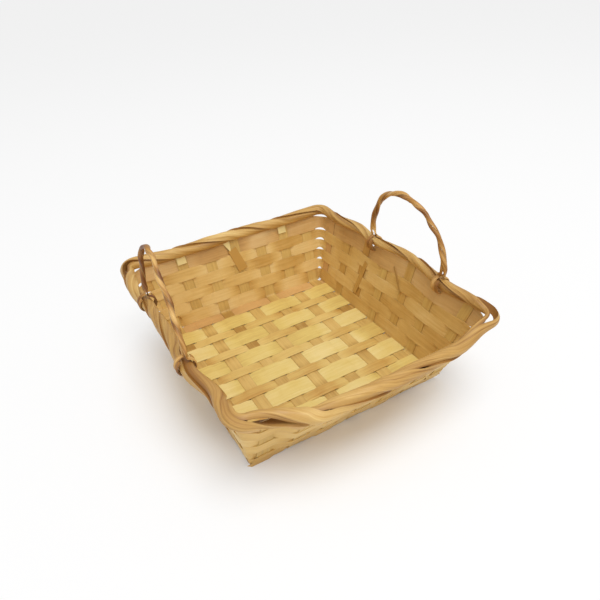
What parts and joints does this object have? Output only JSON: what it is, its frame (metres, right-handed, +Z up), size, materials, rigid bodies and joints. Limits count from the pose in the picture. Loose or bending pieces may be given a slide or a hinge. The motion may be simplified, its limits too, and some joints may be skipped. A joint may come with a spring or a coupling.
{
  "type": "berry basket",
  "caption": "Shallow rectangular basket woven from flat bamboo splints, with flared walls, a twisted border and a small twisted handle on each side.",
  "frame": {"origin": "middle of the basket's underside, at the bottom of its bounding box in Z; X zero lies at the middle of the floor, and Y zero lies 8 mm in front of it, because the front wall leans out further than the back one", "axes": "+X to the right wall, +Y to the back wall, +Z up; the handles stand on the right and left borders"},
  "size_m": [0.2326, 0.2666, 0.1352],
  "materials": {
    "front_back_bamboo": "split bamboo, ochre, satin",
    "cross_bamboo": "split bamboo, tan, satin",
    "slat_bamboo": "wide split bamboo, bright straw, satin",
    "weaver_bamboo": "split bamboo, tan, satin",
    "border_bamboo": "twisted splints, warm tan, satin",
    "handle_bamboo": "twisted splints, brown, satin"
  },
  "bodies": {
    "basket": {"front_back_splint_1": "front_back_bamboo", "front_back_splint_2": "front_back_bamboo", "front_back_splint_3": "front_back_bamboo", "front_back_splint_4": "front_back_bamboo", "front_back_splint_5": "front_back_bamboo", "front_back_splint_6": "front_back_bamboo", "front_back_splint_7": "front_back_bamboo", "cross_splint_1": "cross_bamboo", "cross_splint_2": "cross_bamboo", "cross_splint_3": "cross_bamboo", "cross_splint_4": "cross_bamboo", "cross_splint_5": "cross_bamboo", "cross_splint_6": "cross_bamboo", "cross_splint_7": "cross_bamboo", "floor_slat_1": "slat_bamboo", "floor_slat_2": "slat_bamboo", "floor_slat_3": "slat_bamboo", "floor_slat_4": "slat_bamboo", "floor_slat_5": "slat_bamboo", "floor_slat_6": "slat_bamboo", "wall_weaver_1": "weaver_bamboo", "wall_weaver_2": "weaver_bamboo", "wall_weaver_3": "weaver_bamboo", "wall_weaver_4": "weaver_bamboo", "wall_weaver_5": "weaver_bamboo", "wall_weaver_6": "weaver_bamboo", "border_strand_1": "border_bamboo", "border_strand_2": "border_bamboo"},
    "right_handle": {"right_handle_strand_1": "handle_bamboo", "right_handle_strand_2": "handle_bamboo"},
    "left_handle": {"left_handle_strand_1": "handle_bamboo", "left_handle_strand_2": "handle_bamboo"}
  },
  "joints": [
    {"name": "right_handle_swing", "type": "hinge", "parent": "basket", "child": "right_handle", "pos_m": [0.1082, -0.01565, 0.072], "axis": [0, -1, 0], "range_deg": [-170, 140]},
    {"name": "left_handle_swing", "type": "hinge", "parent": "basket", "child": "left_handle", "pos_m": [-0.1082, 0.00775, 0.072], "axis": [0, 1, 0], "range_deg": [-176, 134]}
  ]
}
